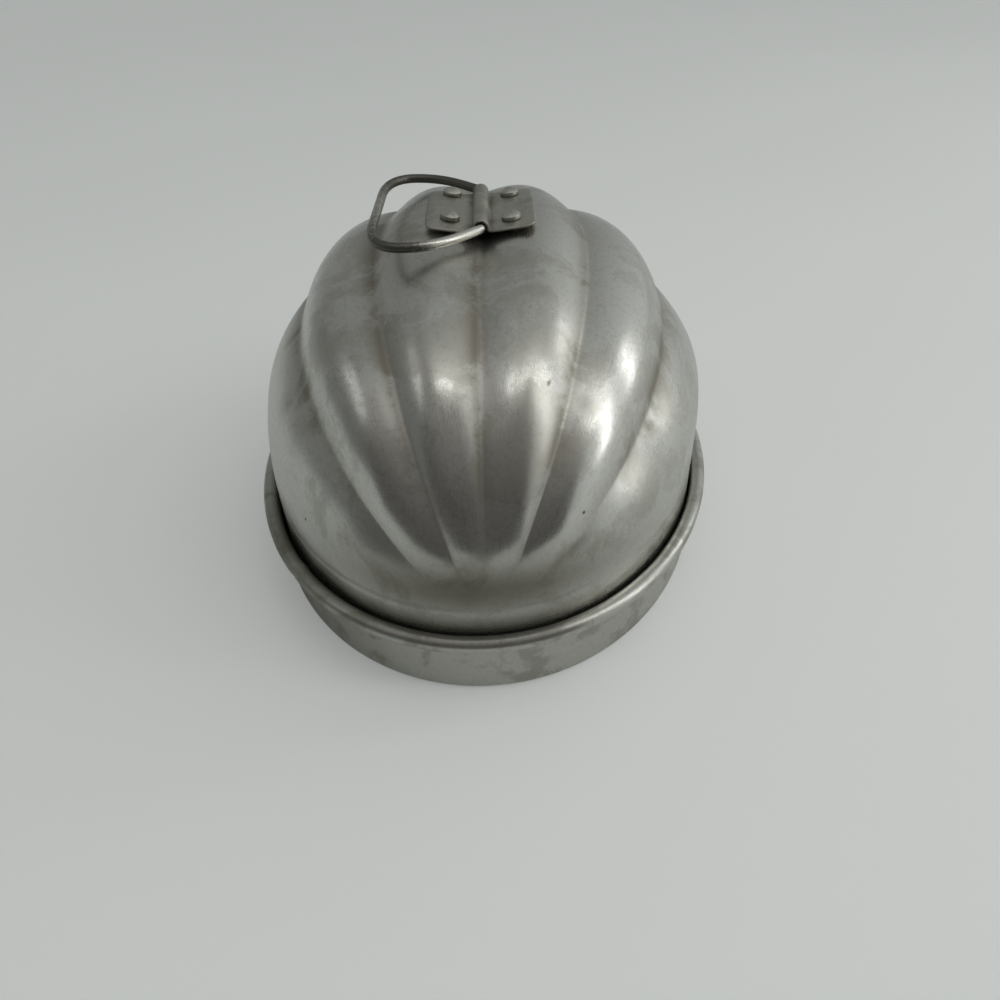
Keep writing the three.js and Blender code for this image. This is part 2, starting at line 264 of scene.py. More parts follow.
# Patterns on the aluminium, in millimetres across the piece and along it. Real scour lines are under 0.1 mm
# apart, too fine to show, so they are drawn 0.35 mm apart.
SCOUR_LINES = (0.35, 16)
SCOUR_BANDS = (3.2, 30)
SPECKLE_SIZE = 1.3
PIT_SPACING = 17
PIT_COLOUR = "#4A453C"
PIT_DEPTH_SHARE = 6
SCRATCH_SWIRL_SIZE = 21
SCRATCH_DEPTH_SHARE = 2.5
# Colour of the smooth dark layer, which is partly tarnished metal and partly painted shade and painted dark
# reflection
TARNISH_AND_SHADE_COLOUR = "#716E60"
RELIEF = 0.02

# Where in the patch noise, which lies round 0.5, water marks begin and are full, and where their rims lie
MARK_LEVELS = (0.5, 0.6)
MARK_RIM_LEVEL = 0.53
MARK_RIM_HALF_WIDTH = 0.006


def drawn_aluminium(name, clean, marked, dirt, roughness, mark_size, streak=0.5):
    """Sheet aluminium, drawn in a press and scoured by hand for years: a satin grey metal with fine scour
    lines along the piece, soft water marks with darker rims that are duller than the metal round them, dark
    specks, brown dirt in patches where the sheet is creased or stained, smooth dark patches that are partly
    tarnished metal and partly painted shade and painted dark reflection, thin curved scratches and small dark
    pits. The streak is how deep the scour lines are, as a share of the specks' depth."""
    material, tree, output = new_material(name)
    place = add(tree, "ShaderNodeTexCoord").outputs["Object"]
    sheet = add(tree, "ShaderNodeUVMap", uv_map="grain").outputs["UV"]
    creased = add(tree, "ShaderNodeAttribute", attribute_name="crease").outputs["Fac"]
    stained = add(tree, "ShaderNodeAttribute", attribute_name="stain").outputs["Fac"]
    # share of the smooth dark layer: partly tarnished metal, partly painted shade and painted dark reflection
    tarnish_and_shade_level = add(tree, "ShaderNodeAttribute", attribute_name="tarnish_and_shade").outputs["Fac"]

    # scour lines, and broader bands of them
    across, along = (per_mm(size) for size in SCOUR_LINES)
    narrow = add(tree, "ShaderNodeMapping", {"Vector": sheet, "Scale": (across, along, 1)}).outputs[0]
    lines = add(
        tree, "ShaderNodeTexNoise",
        {"Vector": narrow, "Scale": 1, "Detail": 5, "Roughness": 0.6},
    ).outputs["Fac"]
    across, along = (per_mm(size) for size in SCOUR_BANDS)
    broad = add(tree, "ShaderNodeMapping", {"Vector": sheet, "Scale": (across, along, 1)}).outputs[0]
    bands = add(tree, "ShaderNodeTexNoise", {"Vector": broad, "Scale": 1, "Detail": 3}).outputs["Fac"]

    # water marks, their rims, and specks
    patches = add(
        tree, "ShaderNodeTexNoise",
        {"Vector": place, "Scale": per_mm(mark_size), "Detail": 7, "Roughness": 0.62, "Distortion": 0.4},
    ).outputs["Fac"]
    speckle = add(
        tree, "ShaderNodeTexNoise",
        {"Vector": place, "Scale": per_mm(SPECKLE_SIZE), "Detail": 5, "Roughness": 0.75},
    ).outputs["Fac"]
    mark = add(
        tree, "ShaderNodeMapRange",
        {"Value": patches, "From Min": MARK_LEVELS[0], "From Max": MARK_LEVELS[1], "To Min": 0, "To Max": 1},
        interpolation_type="SMOOTHSTEP",
    ).outputs[0]
    rim = add(
        tree, "ShaderNodeMath",
        {0: patches, 1: MARK_RIM_LEVEL, 2: MARK_RIM_HALF_WIDTH}, operation="COMPARE",
    ).outputs[0]
    rim_share = add(tree, "ShaderNodeMath", {0: rim, 1: 0.14}, operation="MULTIPLY").outputs[0]
    speck = add(
        tree, "ShaderNodeMapRange",
        {"Value": speckle, "From Min": 0.5, "From Max": 0.72, "To Min": 0, "To Max": 0.3},
    ).outputs[0]

    # dirt in creases and stains, blotchy, and a smooth dark layer, nearly even, that is partly tarnished
    # metal and partly painted shade and painted dark reflection
    fine = add(tree, "ShaderNodeMath", {0: speckle, 1: 0.4}, operation="MULTIPLY").outputs[0]
    blotch = add(tree, "ShaderNodeMath", {0: patches, 1: 2.0, 2: fine}, operation="MULTIPLY_ADD").outputs[0]
    blotch = add(
        tree, "ShaderNodeMapRange",
        {"Value": blotch, "From Min": 1.08, "From Max": 1.36, "To Min": 0, "To Max": 1},
        interpolation_type="SMOOTHSTEP",
    ).outputs[0]
    soil = add(tree, "ShaderNodeMath", {0: creased, 1: stained}, operation="MAXIMUM").outputs[0]
    soil_share = add(tree, "ShaderNodeMath", {0: blotch, 1: 0.3, 2: 0.4}, operation="MULTIPLY_ADD").outputs[0]
    dirty = add(
        tree, "ShaderNodeMath",
        {0: soil, 1: soil_share}, operation="MULTIPLY", use_clamp=True,
    ).outputs[0]
    even_share = add(
        tree, "ShaderNodeMath",
        {0: patches, 1: 0.5, 2: 0.72}, operation="MULTIPLY_ADD",
    ).outputs[0]
    tarnish_and_shade_share = add(
        tree, "ShaderNodeMath",
        {0: tarnish_and_shade_level, 1: even_share}, operation="MULTIPLY", use_clamp=True,
    ).outputs[0]

    # pits, and curved scratches, which show only on the water marks
    pit_distance = add(
        tree, "ShaderNodeTexVoronoi",
        {"Vector": place, "Scale": per_mm(PIT_SPACING), "Randomness": 1},
    ).outputs["Distance"]
    pits = add(
        tree, "ShaderNodeMapRange",
        {"Value": pit_distance, "From Min": 0.018, "From Max": 0.04, "To Min": 1, "To Max": 0},
    ).outputs[0]
    swirl = add(
        tree, "ShaderNodeTexNoise",
        {"Vector": place, "Scale": per_mm(SCRATCH_SWIRL_SIZE), "Detail": 0, "Distortion": 1.5},
    ).outputs["Fac"]
    scratch = add(tree, "ShaderNodeMath", {0: swirl, 1: 0.52, 2: 0.0022}, operation="COMPARE").outputs[0]
    scratch = add(tree, "ShaderNodeMath", {0: scratch, 1: mark}, operation="MULTIPLY").outputs[0]

    # colour, laid over from the clean metal up to the pits
    colour = srgb(clean)
    for share, code in (
        (mark, marked),
        (rim_share, dirt),
        (speck, dirt),
        # the smooth dark layer: tarnished metal together with painted shade and painted dark reflection
        (tarnish_and_shade_share, TARNISH_AND_SHADE_COLOUR),
        (dirty, dirt),
        (pits, PIT_COLOUR),
    ):
        colour = add(tree, "ShaderNodeMix", {0: share, 6: colour, 7: srgb(code)}, data_type="RGBA").outputs[2]

    # roughness, from the scour lines, with marks, dirt and the smooth dark tarnished and shaded patches
    # duller
    low, high = roughness
    rough = add(
        tree, "ShaderNodeMapRange",
        {"Value": lines, "From Min": 0.3, "From Max": 0.7, "To Min": low, "To Max": high},
    ).outputs[0]
    for share, amount in ((mark, 0.07), (soil, 0.24), (tarnish_and_shade_level, 0.3)):
        rough = add(
            tree, "ShaderNodeMath",
            {0: share, 1: amount, 2: rough}, operation="MULTIPLY_ADD",
        ).outputs[0]

    # relief
    height = speckle
    for share, amount in (
        (bands, 1.2 * streak),
        (lines, streak),
        (pits, -PIT_DEPTH_SHARE),
        (scratch, -SCRATCH_DEPTH_SHARE),
    ):
        height = add(
            tree, "ShaderNodeMath",
            {0: share, 1: amount, 2: height}, operation="MULTIPLY_ADD",
        ).outputs[0]
    bump = add(
        tree, "ShaderNodeBump",
        {"Height": height, "Strength": 0.4, "Distance": RELIEF * MM},
    ).outputs[0]
    tangent = add(tree, "ShaderNodeTangent", direction_type="UV_MAP", uv_map="grain").outputs[0]
    shader = add(
        tree, "ShaderNodeBsdfPrincipled",
        {
            "Base Color": colour,
            "Metallic": 1,
            "Roughness": rough,
            "Anisotropic": 0.3,
            "Normal": bump,
            "Tangent": tangent,
        },
    )
    tree.links.new(shader.outputs[0], output.inputs["Surface"])
    return material


WIRE_LINES = (0.25, 5)
WIRE_SPOT_SIZE = 0.9
WIRE_RELIEF = 0.05


def tarnished_steel_wire():
    """Drawn steel wire, oxidised to a brown grey and rubbed bright where it is handled: dark and rough with
    fine lines along the wire, and pale smooth metal where the wear mark is high."""
    material, tree, output = new_material("tarnished_steel_wire")
    place = add(tree, "ShaderNodeTexCoord").outputs["Object"]
    along = add(tree, "ShaderNodeUVMap", uv_map="grain").outputs["UV"]
    wear = add(tree, "ShaderNodeAttribute", attribute_name="wear").outputs["Fac"]
    thin, long = (per_mm(size) for size in WIRE_LINES)
    stretched = add(tree, "ShaderNodeMapping", {"Vector": along, "Scale": (thin, long, 1)}).outputs[0]
    lines = add(tree, "ShaderNodeTexNoise", {"Vector": stretched, "Scale": 1, "Detail": 4}).outputs["Fac"]
    spots = add(
        tree, "ShaderNodeTexNoise",
        {"Vector": place, "Scale": per_mm(WIRE_SPOT_SIZE), "Detail": 5, "Roughness": 0.7},
    ).outputs["Fac"]
    rubbed = add(
        tree, "ShaderNodeMath",
        {0: spots, 1: 0.9, 2: wear}, operation="MULTIPLY_ADD",
    ).outputs[0]
    rubbed = add(
        tree, "ShaderNodeMapRange",
        {"Value": rubbed, "From Min": 0.5, "From Max": 0.95, "To Min": 0, "To Max": 1},
        interpolation_type="SMOOTHSTEP",
    ).outputs[0]
    colour = add(
        tree, "ShaderNodeMix",
        {0: rubbed, 6: srgb("#66645E"), 7: srgb("#D2D0C8")}, data_type="RGBA",
    ).outputs[2]
    rough = add(
        tree, "ShaderNodeMapRange",
        {"Value": rubbed, "From Min": 0, "From Max": 1, "To Min": 0.42, "To Max": 0.24},
    ).outputs[0]
    height = add(tree, "ShaderNodeMath", {0: spots, 1: lines}).outputs[0]
    bump = add(tree, "ShaderNodeBump", {"Height": height, "Strength": 0.6, "Distance": WIRE_RELIEF * MM})
    shader = add(
        tree, "ShaderNodeBsdfPrincipled",
        {"Base Color": colour, "Metallic": 1, "Roughness": rough, "Normal": bump.outputs[0]},
    )
    tree.links.new(shader.outputs[0], output.inputs["Surface"])
    return material


# Clean, marked and dirty colour, roughness along the scour lines, size of the marks in millimetres and streak
shell_metal = drawn_aluminium(
    "drawn_aluminium_scoured", "#D3D3CE", "#C2C1BA", "#7F796A", (0.19, 0.3), 22,
)
lid_metal = drawn_aluminium(
    "drawn_aluminium_water_marked", "#BEBEB8", "#A8A79F", "#858277", (0.26, 0.38), 12,
)
saddle_metal = drawn_aluminium(
    "pressed_aluminium_dull", "#B7B6AD", "#A5A49A", "#5F5C52", (0.36, 0.46), 9, 0.2,
)
rivet_metal = drawn_aluminium(
    "rivet_aluminium_dull", "#C0BFB6", "#A9A89E", "#57544B", (0.3, 0.42), 4, 0.1,
)
wire_metal = tarnished_steel_wire()


# Lid
DENT_DEGREES = 223
DENT_HALF_LENGTH = 1.3
DENT_DEPTH = 0.45
DENT_DROP_SHARE = 0.5
DENT_FADE_POWER = 4
LID_WAVE_DEPTH = 0.1
RIM_DIRT = 0.6
RIM_DIRT_HEIGHT = 0.8
# Painted shade on the lid's left front, where the room is dimmer, laid on as the smooth dark layer: a place,
# a width and a height in millimetres and a strength
LID_PAINTED_SHADE = [((-70, -58, 8), 40, 26, 0.85)]
LID_SIDES = 360


def lid_section():
    """The section from the middle of the underside round the rolled rim and back to the middle of the floor.
    Each point has a share of the oval, an offset outside it and a height."""
    hollow = RIM_HOLLOW_RADIUS + RIM_SWELL
    rim_radius = hollow + SHEET
    rim_x = LID_DRAFT + RIM_HOLLOW_RADIUS - RIM_SWELL
    rim_z = LID_HEIGHT - rim_radius
    end = -math.degrees(math.acos((RIM_SLIT - hollow) / rim_radius))
    outer = LID_INNER_RADIUS + SHEET
    inner = LID_INNER_RADIUS
    wall = np.concatenate([
        arc(-outer, outer, outer, -90, 0, 8),
        line((0, outer), (rim_x - hollow, rim_z), 16),
        arc(rim_x, rim_z, hollow, 180, end, 16),
        arc(rim_x, rim_z, rim_radius, end, 180, 30),
        line((rim_x - rim_radius, rim_z), (-SHEET, outer), 12),
        arc(-outer, outer, inner, 0, -90, 6),
    ])
    rings = np.linspace(0, 1, 14)[:-1]
    under = np.stack([rings, -outer * rings, 0 * rings], -1)
    floor = np.stack([rings, -outer * rings, SHEET + 0 * rings], -1)[::-1]
    middle = np.concatenate([np.ones((len(wall), 1)), wall], 1)
    return np.concatenate([under, middle, floor])


def make_lid():
    """The section goes round an oval. A point stands off the oval along its normal, and the rim has gentle
    waves and one small dent, both inwards, that fade out towards the floor."""
    rim_radius = RIM_HOLLOW_RADIUS + SHEET
    overhang = LID_DRAFT + RIM_HOLLOW_RADIUS + rim_radius
    half_width = lid_high[0] - overhang
    half_length = lid_high[1] - overhang
    share, out, height = (column[:, None] for column in lid_section().T)
    turn = np.linspace(0, 2 * np.pi, LID_SIDES, endpoint=False)[None, :]
    lift = np.clip(height / LID_HEIGHT, 0, 1)
    wave = LID_WAVE_DEPTH * (1 + 0.5 * np.sin(3 * turn + 0.6) + 0.5 * np.sin(7 * turn + 2.1)) / 2
    from_dent = (turn - math.radians(DENT_DEGREES)) * half_length
    dent = DENT_DEPTH * np.exp(-((from_dent / DENT_HALF_LENGTH) ** 2))
    dent = dent * lift ** DENT_FADE_POWER
    out = out - (wave * lift + dent) * (share == 1)
    height = height - DENT_DROP_SHARE * dent
    normal = unit(np.stack([np.cos(turn) / half_width, np.sin(turn) / half_length], -1))
    x = share * half_width * np.cos(turn) + out * normal[..., 0]
    y = share * half_length * np.sin(turn) + out * normal[..., 1]
    points = np.stack(np.broadcast_arrays(x, y, height), -1)
    rows, columns = points.shape[:2]
    step = np.linalg.norm(np.diff(points, axis=0, prepend=points[:1]), axis=-1).cumsum(0)
    around = np.broadcast_to(turn * half_length, (rows, columns))
    grain = np.stack([step, around], -1).reshape(-1, 2) * MM
    below_rim = lid_high[2] - 2 * rim_radius - points[..., 2]
    creased = RIM_DIRT * np.exp(-(below_rim / RIM_DIRT_HEIGHT) ** 2)
    return add_piece(
        "tray_lid", points.reshape(-1, 3), grid_quads(rows, columns, closed_columns=True)[:, ::-1],
        "lid", ["lid"], lid_metal, grain,
        # on the lid the smooth dark layer is painted shade only, darker on the left front
        {"crease": creased.reshape(-1), "tarnish_and_shade": soft_spots(points, LID_PAINTED_SHADE).reshape(-1)},
    )


make_lid()


# Mould
MELON_HALF_WIDTH = BAND_HALF_WIDTH + MELON_SIDE_REACH
MELON_HALF_LENGTH = BAND_HALF_LENGTH + MELON_END_REACH
VALLEY_ROUND_SHARE = 0.045
FLUTE_FADE_POWER = 0.4
VALLEY_CROWDING = 0.09
SKIN_WAVE_DEPTH = 0.1
SKIN_WAVES_START = 4
BAND_GROOVE_HEIGHT = 7.0
BAND_GROOVE_WIDTH = 0.7
BAND_GROOVE_DEPTH = 0.12

# Dirt in the valleys: its strength, how narrow it is, how far it lies to one side of the valley, and the
# heights between which it comes in
VALLEY_DIRT = 1.1
VALLEY_DIRT_POWER = 3
DIRT_SHIFT_DEGREES = 1.2
DIRT_START = 38
DIRT_FULL = 68

# Brown stains: a place on the shell, a width and a height in millimetres and a strength
SHELL_STAINS = [
    ((-14, -22, 98), 26, 8, 0.7),
    ((-27, -27, 91), 7, 6, 0.5),
    ((-21, -47, 87), 6, 8, 0.6),
    ((-37, -40, 85), 9, 9, 0.3),
    ((-46, -51, 64), 5, 10, 0.8),
    ((-52, -40, 65), 5, 8, 0.6),
    ((19, -79.5, 63.5), 3.5, 9, 0.9),
    ((21.5, -74, 69), 3.5, 6, 0.8),
    ((28, -65, 74), 3, 6, 0.7),
    ((46, -57, 62), 3, 3.5, 1.0),
    ((51, -43, 67), 6, 8, 0.55),
    ((23, -38, 93.5), 8, 6, 0.35),
    ((19.3, -64.6, 80.4), 0.5, 0.4, 1.6),
    ((-7.8, -48.5, 92.2), 0.5, 0.4, 1.6),
    ((2, -24, 99), 14, 4, 0.4),
]
# Smooth dark tarnished metal low on the front and to its left, with painted shade and a painted dark
# reflection of the viewer's side laid on with it, given in the same way
SHELL_TARNISH_AND_SHADE = [
    ((0, -94, 37), 43, 10, 0.92),
    ((-44, -76, 32), 26, 8, 0.3),
]
SHELL_STATIONS = 200
OUTER_STEPS_PER_RIB = 46
INNER_STEPS_PER_RIB = 12


def super_radius(share, exponent):
    """Radius, as a share of the middle's, of a round form that bulges more the higher the exponent."""
    return np.maximum(1 - np.abs(share) ** exponent, 0) ** (1 / exponent)


def signed_power(value, power):
    """The value's size to a power, with the value's own sign."""
    return np.sign(value) * np.abs(value) ** power


def flute_share(degrees):
    """How deep the flute is at an angle round the melon, from 0 on a crest to 1 in a valley, where the V is
    rounded off. The outermost ribs run straight into the band."""
    last = len(FLUTE_DEGREES) - 2
    rib = np.clip(np.searchsorted(FLUTE_DEGREES, degrees, side="right") - 1, 0, last)
    across = (degrees - FLUTE_DEGREES[rib]) / (FLUTE_DEGREES[rib + 1] - FLUTE_DEGREES[rib])
    outside = ((rib == 0) & (across < 0.5)) | ((rib == last) & (across > 0.5))
    swell = np.sqrt(np.sin(np.pi * across) ** 2 + VALLEY_ROUND_SHARE ** 2)
    crest = math.sqrt(1 + VALLEY_ROUND_SHARE ** 2)
    deepest = 1 - (VALLEY_ROUND_SHARE / crest) ** CREST_EXPONENT
    return np.where(outside, 0, (1 - (swell / crest) ** CREST_EXPONENT) / deepest)


def blended_lesser(share):
    """The share, or 1 where it is more, rounded near 1."""
    near = np.maximum(BAND_BLEND_SHARE - np.abs(share - 1), 0) / BAND_BLEND_SHARE
    return np.minimum(share, 1) - near * near * BAND_BLEND_SHARE / 4


def skin(station, degrees, inset):
    """Points of the skin. The station turns from pole to pole and the degrees turn round the melon's axis.
    The section is a super-ellipse whose size follows another from pole to pole, less the flutes, and what
    lies outside the oval band is drawn in to it."""
    along = np.sin(np.radians(station))
    angle = np.radians(degrees)
    flute = FLUTE_DEPTH / MELON_RISE * flute_share(degrees)
    power = 2 / SECTION_EXPONENT
    plan = super_radius(along, PLAN_EXPONENT)
    profile = super_radius(along, PROFILE_EXPONENT)
    radius_x = (MELON_HALF_WIDTH - inset) * np.maximum(plan - flute * plan ** FLUTE_FADE_POWER, 0)
    radius_z = (MELON_RISE - inset) * np.maximum(profile - flute * profile ** FLUTE_FADE_POWER, 0)
    x = MELON_SHIFT + radius_x * signed_power(np.cos(angle), power)
    y = (MELON_HALF_LENGTH - inset) * along
    z = MELON_AXIS_HEIGHT + radius_z * signed_power(np.maximum(np.sin(angle), 0), power)
    share = np.hypot(x / (BAND_HALF_WIDTH - inset), y / (BAND_HALF_LENGTH - inset))
    draw = np.where(share > 0, blended_lesser(share) / np.maximum(share, NEARLY_ZERO), 1)
    return np.stack([x * draw, y * draw, z + MOULD_EDGE_HEIGHT], -1)


def band(station, side, inset, heights):
    """Points of the upright band under one end of the arch, at heights above its edge."""
    top = skin(station, np.array(90 - 90 * side), inset)
    share = np.hypot(top[..., 0] / (BAND_HALF_WIDTH - inset), top[..., 1] / (BAND_HALF_LENGTH - inset))
    foot = top[..., :2] / np.maximum(share, NEARLY_ZERO)[..., None]
    level = (heights / MELON_AXIS_HEIGHT)[None, :, None]
    plan = foot[:, None] * (1 - level) + top[:, None, :2] * level
    z = np.broadcast_to(MOULD_EDGE_HEIGHT + heights, plan.shape[:2])
    return np.concatenate([plan, z[..., None]], -1)


def rib_angles(steps):
    """Angles from +X over the top to -X, each rib having the same steps, closer together near its valleys."""
    share = np.arange(steps) / steps
    share = share - VALLEY_CROWDING * np.sin(2 * np.pi * share)
    spans = np.diff(FLUTE_DEGREES)[:, None]
    return np.append((FLUTE_DEGREES[:-1, None] + spans * share).reshape(-1), FLUTE_DEGREES[-1])


def skin_waves(points):
    """Depth of the gentle unevenness that pressing and use leave in the sheet: the product of two sine waves
    about 50 mm long, and two shorter ones, 20 and 15 mm long, added to it."""
    x, y, z = (points[..., i] for i in range(3))
    wave = np.sin(0.11 * x + 0.07 * y + 1.3) * np.sin(0.09 * z - 0.08 * y + 0.4)
    wave = wave + 0.6 * np.sin(0.23 * x - 0.17 * y + 0.13 * z + 2.2)
    wave = wave + 0.35 * np.sin(0.31 * y + 0.27 * z + 0.9)
    return SKIN_WAVE_DEPTH * (wave + 2) / 4


def make_shell():
    """A closed loop of rows at each station: the inner side from edge to edge and the outer side back. The
    outer side has the sheet's waves and one shallow groove round the band."""
    station = np.linspace(-90, 90, SHELL_STATIONS + 1)
    rising = np.linspace(0, MELON_AXIS_HEIGHT, 17)[:-1]
    few = np.linspace(0, MELON_AXIS_HEIGHT, 5)[:-1]
    outer = rib_angles(OUTER_STEPS_PER_RIB)
    inner = rib_angles(INNER_STEPS_PER_RIB)
    trim = SKIN_TRIM
    inside = SHEET + trim
    inner_side = np.concatenate([
        band(station, 1, inside, few),
        skin(station[:, None], inner[None, :], inside),
        band(station, -1, inside, few[::-1]),
    ], 1)
    outer_side = np.concatenate([
        band(station, -1, trim, rising),
        skin(station[:, None], outer[None, ::-1], trim),
        band(station, 1, trim, rising[::-1]),
    ], 1)
    points = np.concatenate([inner_side, outer_side], 1)
    rows, columns = points.shape[:2]
    first = inner_side.shape[1]
    along = np.gradient(points, axis=0)
    across = np.gradient(points, axis=1)
    normal = unit(np.cross(along, across))
    depth = skin_waves(points)
    outer_only = np.arange(columns) >= first
    depth = depth * outer_only * (points[..., 2] > LID_HEIGHT - SKIN_WAVES_START)
    from_groove = points[..., 2] - LID_HEIGHT - BAND_GROOVE_HEIGHT
    depth = depth + BAND_GROOVE_DEPTH * np.exp(-(from_groove / BAND_GROOVE_WIDTH) ** 2) * outer_only
    middle = np.array([0, 0, MOULD_EDGE_HEIGHT + MELON_AXIS_HEIGHT])
    outwards = np.sign(((points - middle) * normal).sum(-1, keepdims=True))
    points[1:-1] -= (depth[..., None] * normal * outwards)[1:-1]
    step = np.linalg.norm(np.diff(points, axis=1, prepend=points[:, :1]), axis=-1).cumsum(1)
    half = rows // 2
    grain = np.stack([np.broadcast_to(step[half], (rows, columns)), points[..., 1]], -1).reshape(-1, 2) * MM
    low, high = np.zeros(len(few)), np.zeros(len(rising))
    degrees = np.concatenate([low, inner, low, high, outer[::-1], high])
    valley = flute_share(np.clip(degrees - DIRT_SHIFT_DEGREES, 0, 180)) ** VALLEY_DIRT_POWER
    fade = np.clip((points[..., 2] - DIRT_START) / (DIRT_FULL - DIRT_START), 0, 1)
    creased = VALLEY_DIRT * np.broadcast_to(valley, (rows, columns)) * fade
    stain = soft_spots(points, SHELL_STAINS)
    # tarnished metal together with painted shade and a painted dark reflection on the viewer's side
    tarnish_and_shade = soft_spots(points, SHELL_TARNISH_AND_SHADE)
    return add_piece(
        "fluted_shell", points.reshape(-1, 3), grid_quads(rows, columns, closed_columns=True),
        "mould", ["mould_shell"], shell_metal, grain,
        {
            "crease": creased.reshape(-1),
            "stain": stain.reshape(-1),
            "tarnish_and_shade": tarnish_and_shade.reshape(-1),
        },
        crease=60,
    )


make_shell()


# Saddle
BARREL_INNER = WIRE_RADIUS + BARREL_CLEARANCE
BARREL_MIDDLE = BARREL_INNER + SADDLE_SHEET / 2
PIN_ABOVE_FOOT = BARREL_INNER + SADDLE_SHEET / 2 - BARREL_SINK
CORNER_LIFT = 0.5
CORNER_LIFT_SPREAD = (2.6, 3.2)
EDGE_DROOP = (0.75, 0.2)
EDGE_DROOP_SPREAD = 3.2
EDGE_DROOP_CLEAR = 3
BARREL_DIRT = 0.9
BARREL_DIRT_WIDTH = 1.3
EDGE_DIRT = 0.3
EDGE_DIRT_NARROWING = 1.5


def tilted(x, z):
    """The saddle's own x and z, turned about the pin by the saddle's tilt, the right side down."""
    tilt = math.radians(SADDLE_TILT_DEGREES)
    return x * math.cos(tilt) + z * math.sin(tilt), z * math.cos(tilt) - x * math.sin(tilt)


def saddle_middle(out):
    """The height of the wing's middle surface above the pin at a distance from the barrel's centre line."""
    share = (out - BARREL_INNER) / (SADDLE_HALF_WIDTH - BARREL_INNER)
    lift = (WING_RISE + WING_CURVE) * share - WING_CURVE * share * share
    return lift - PIN_ABOVE_FOOT + SADDLE_SHEET / 2


def saddle_section():
    """The middle line of the pressed sheet from wing to wing: a falling curve up to each edge, a small fillet
    and the barrel's arc between."""
    fillet = BARREL_FILLET_RADIUS
    joint = BARREL_MIDDLE + fillet
    foot = saddle_middle(joint)
    wing_x = np.linspace(SADDLE_HALF_WIDTH, joint, 30)
    wing = np.stack([wing_x, saddle_middle(wing_x)], -1)
    turn = arc(joint, foot + fillet, fillet, 270, 180, 7)[1:]
    top = arc(0, 0, BARREL_MIDDLE, 0, 90, 14)
    top[:, 1] = np.maximum(top[:, 1], turn[-1, 1])
    right = np.concatenate([wing, turn, top[1:]])
    left = right[::-1][1:] * np.array([-1, 1])
    return np.concatenate([right, left])


def make_saddle():
    """The middle line goes along Y between the two ends of a square with round corners. The sheet lies half
    its thickness to either side, thinning to nothing round its edges. One corner is bent up a little, and the
    wings droop towards their ends, the left one more."""
    section = saddle_section()
    x = section[:, 0]
    tangent = unit(np.gradient(section, axis=0))
    normal = np.stack([tangent[:, 1], -tangent[:, 0]], -1)
    reach = np.maximum(np.abs(x) - (SADDLE_HALF_WIDTH - SADDLE_CORNER_RADIUS), 0)
    cut = SADDLE_CORNER_RADIUS - np.sqrt(np.maximum(SADDLE_CORNER_RADIUS ** 2 - reach ** 2, 0))
    half_length = (SADDLE_HALF_LENGTH - cut)[:, None]
    edge = 1 - np.cos(np.linspace(0, np.pi / 2, 7))
    inner = np.linspace(edge[-1] * SADDLE_SHEET / 2, SADDLE_HALF_LENGTH, 18)[1:]
    from_end = np.concatenate([edge * SADDLE_SHEET / 2, inner])
    from_end = np.concatenate([from_end, 2 * SADDLE_HALF_LENGTH - from_end[-2::-1]])
    y = (from_end / SADDLE_HALF_LENGTH - 1)[None, :] * half_length
    to_end = half_length - np.abs(y)
    to_side = (SADDLE_HALF_WIDTH - np.abs(x))[:, None] * np.ones_like(y)
    near = np.clip(np.minimum(to_end, to_side) / (SADDLE_SHEET / 2), 0, 1)
    half = SADDLE_SHEET / 2 * np.sqrt(1 - (1 - near) ** 2)
    from_corner_x = (x[:, None] - SADDLE_HALF_WIDTH) / CORNER_LIFT_SPREAD[0]
    from_corner_y = (y + SADDLE_HALF_LENGTH) / CORNER_LIFT_SPREAD[1]
    lifted = CORNER_LIFT * np.exp(-(from_corner_x ** 2 + from_corner_y ** 2))
    on_wing = np.clip((np.abs(x) - BARREL_MIDDLE) / EDGE_DROOP_CLEAR, 0, 1)[:, None]
    droop = on_wing * np.where(x < 0, *EDGE_DROOP)[:, None] * np.exp(-((to_end / EDGE_DROOP_SPREAD) ** 2))
    sides = []
    for side in (1, -1):
        px = x[:, None] + side * half * normal[:, :1]
        pz = section[:, 1:] + side * half * normal[:, 1:] + lifted - droop
        px, pz = tilted(px, pz)
        sides.append(np.stack([px, y, pz], -1))
    top, bottom = (side + PIN for side in sides)
    rows, columns = y.shape
    points = np.concatenate([top.reshape(-1, 3), bottom.reshape(-1, 3)])
    quads = np.concatenate([
        grid_quads(rows, columns),
        grid_quads(rows, columns, first=rows * columns)[:, ::-1],
    ])
    grain = np.stack([points[:, 1], points[:, 0]], -1) * MM
    from_barrel = np.abs(x) - BARREL_MIDDLE - BARREL_FILLET_RADIUS
    by_barrel = BARREL_DIRT * np.exp(-((from_barrel / BARREL_DIRT_WIDTH) ** 2))[:, None]
    by_edge = EDGE_DIRT * np.exp(-((EDGE_DIRT_NARROWING * near) ** 2))
    creased = np.maximum(by_barrel, by_edge).reshape(-1)
    return add_piece(
        "saddle_strap", points, quads, "mould", ["saddle_plate"], saddle_metal, grain,
        {"crease": np.concatenate([creased, creased])}, crease=60,
    )


make_saddle()


# Rivets
RIVET_HEAD_BEVEL = 0.25
RIVET_HEAD_OVERHANG = 0.28
RIVET_OVAL_SHARE = 0.02
RIVET_LOBE_SHARE = 0.012
RIVET_DIRT = 0.9


